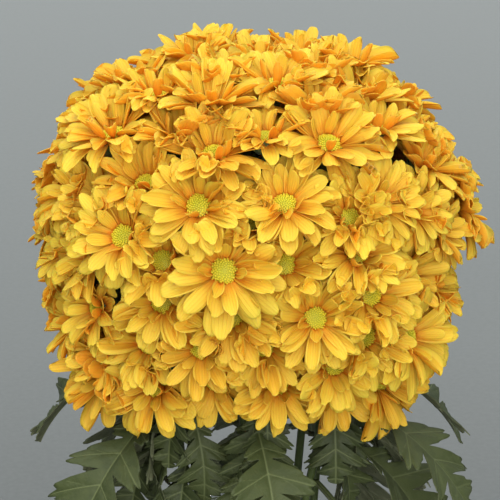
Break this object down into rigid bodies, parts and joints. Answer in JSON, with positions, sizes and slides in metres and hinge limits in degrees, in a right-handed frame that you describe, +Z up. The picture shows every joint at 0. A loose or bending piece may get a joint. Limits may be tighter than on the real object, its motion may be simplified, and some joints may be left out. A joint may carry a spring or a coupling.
{
  "type": "chrysanthemums in a jar",
  "caption": "Dense dome of golden yellow daisy chrysanthemums on leafy green stems, standing in a plain clear glass jar of water.",
  "frame": {"origin": "centre of the jar's flat underside", "axes": "+Z up along the jar's axis; -Y is the front of the arrangement; +X is to the right seen from the front"},
  "size_m": [0.2671, 0.2627, 0.4828],
  "materials": {
    "glass": "clear, polished",
    "water": "clear still water",
    "stem": "fresh green, ribbed, matt",
    "leaf": "dark green and matt above, grey-green and downy beneath",
    "calyx": "green overlapping bracts, matt",
    "petal": "soft golden yellow petals with fine lengthwise grooves",
    "disc": "yellow-green, finely beaded"
  },
  "bodies": {
    "root": {"glass_jar": "glass", "water": "water", "spray_01": "stem", "spray_02": "stem", "spray_03": "stem", "spray_04": "stem", "spray_05": "stem", "spray_06": "stem", "spray_07": "stem", "spray_08": "stem", "bloom_01": "petal", "bloom_02": "petal", "bloom_03": "petal", "bloom_04": "petal", "bloom_05": "petal", "bloom_06": "petal", "bloom_07": "petal", "bloom_08": "petal", "bloom_09": "petal", "bloom_10": "petal", "bloom_11": "petal", "bloom_12": "petal", "bloom_13": "petal", "bloom_14": "petal", "bloom_15": "petal", "bloom_16": "petal", "bloom_17": "petal", "bloom_18": "petal", "bloom_19": "petal", "bloom_20": "petal", "bloom_21": "petal", "bloom_22": "petal", "bloom_23": "petal", "bloom_24": "petal", "bloom_25": "petal", "bloom_26": "petal", "bloom_27": "petal", "bloom_28": "petal", "bloom_29": "petal", "leaf_lower_01": "leaf", "leaf_lower_02": "leaf", "leaf_lower_03": "leaf", "leaf_lower_04": "leaf", "leaf_lower_05": "leaf", "leaf_lower_06": "leaf", "leaf_lower_07": "leaf", "leaf_middle_01": "leaf", "leaf_middle_02": "leaf", "leaf_middle_03": "leaf", "leaf_middle_04": "leaf", "leaf_middle_05": "leaf", "leaf_middle_06": "leaf", "leaf_middle_07": "leaf", "leaf_upper_01": "leaf", "leaf_upper_02": "leaf", "leaf_upper_03": "leaf", "leaf_upper_04": "leaf", "leaf_upper_05": "leaf", "leaf_upper_06": "leaf", "leaf_upper_07": "leaf"}
  },
  "joints": []
}
